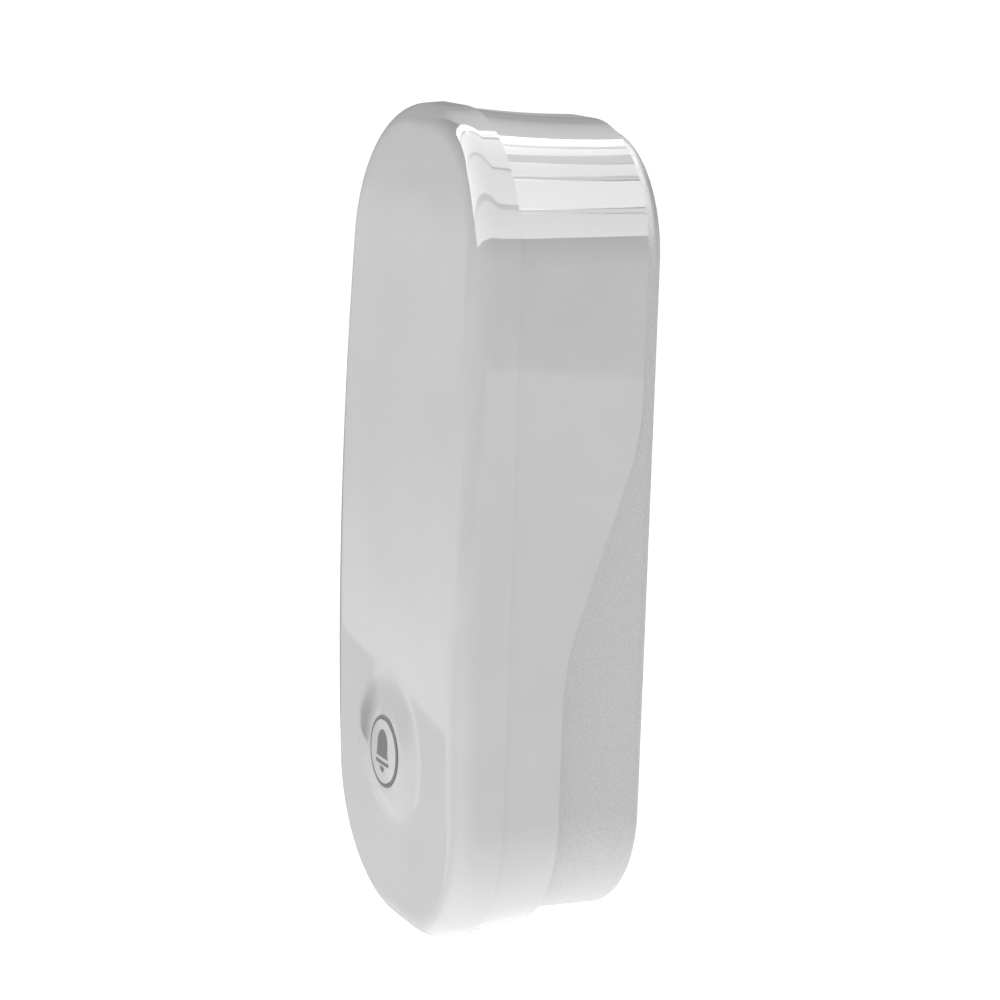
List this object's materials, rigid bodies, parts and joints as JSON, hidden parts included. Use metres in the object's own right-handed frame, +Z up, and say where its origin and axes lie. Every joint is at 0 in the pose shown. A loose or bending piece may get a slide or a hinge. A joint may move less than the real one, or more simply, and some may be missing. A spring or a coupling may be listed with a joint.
{
  "type": "wireless doorbell push",
  "caption": "Slim upright wall doorbell push: glossy front cover with a soft raised round button, waisted housing with a swept rear edge and a textured rear cover that screws to the wall.",
  "frame": {"origin": "on the plane of the back, midway between the two wall screw holes", "axes": "+Z up the wall, +Y into the wall, so the front with the button faces -Y, and +X across"},
  "size_m": [0.0402, 0.0265, 0.1],
  "materials": {
    "gloss_white": "smooth polished ABS",
    "matt_white": "finely textured ABS",
    "grey_rubber": "smooth grey silicone",
    "dark_rubber": "soft sealing rubber",
    "board_green": "solder-masked glass-epoxy board",
    "black_plastic": "moulded nylon",
    "ivory_plastic": "moulded acetal",
    "plated_steel": "bright tin plate",
    "bare_aluminium": "drawn can",
    "strip_brass": "bare strip",
    "cell_can": "plain shrink sleeve over a steel can",
    "screw_steel": "zinc plated"
  },
  "bodies": {
    "base": {"front_cover": "gloss_white", "mid_housing": "gloss_white", "button_seal": "grey_rubber", "cover_gasket": "dark_rubber", "rear_gasket": "dark_rubber", "rear_cover": "matt_white", "circuit_board": "board_green", "switch_body": "black_plastic", "controller_chip": "black_plastic", "battery_tray": "black_plastic", "radio_can": "plated_steel", "crystal_can": "plated_steel", "capacitor": "bare_aluminium", "antenna_strip": "strip_brass", "cell_left": "cell_can", "cell_right": "cell_can", "contact_positive": "plated_steel", "contact_negative": "plated_steel", "contact_bridge": "plated_steel", "cover_screws": "screw_steel", "board_screws": "screw_steel", "lock_screw": "screw_steel"},
    "button": {"button_cap": "gloss_white"},
    "plunger": {"switch_plunger": "ivory_plastic"}
  },
  "joints": [
    {"name": "button_press", "type": "slide", "parent": "base", "child": "button", "axis": [0, 1, 0], "range_m": [0, 0.0008], "stiffness_N_per_m": 2000},
    {"name": "plunger_press", "type": "slide", "parent": "base", "child": "plunger", "axis": [0, 1, 0], "range_m": [0, 0.0008]}
  ],
  "couplings": [
    {"joint": "plunger_press", "follows": "button_press", "ratio": 1}
  ]
}
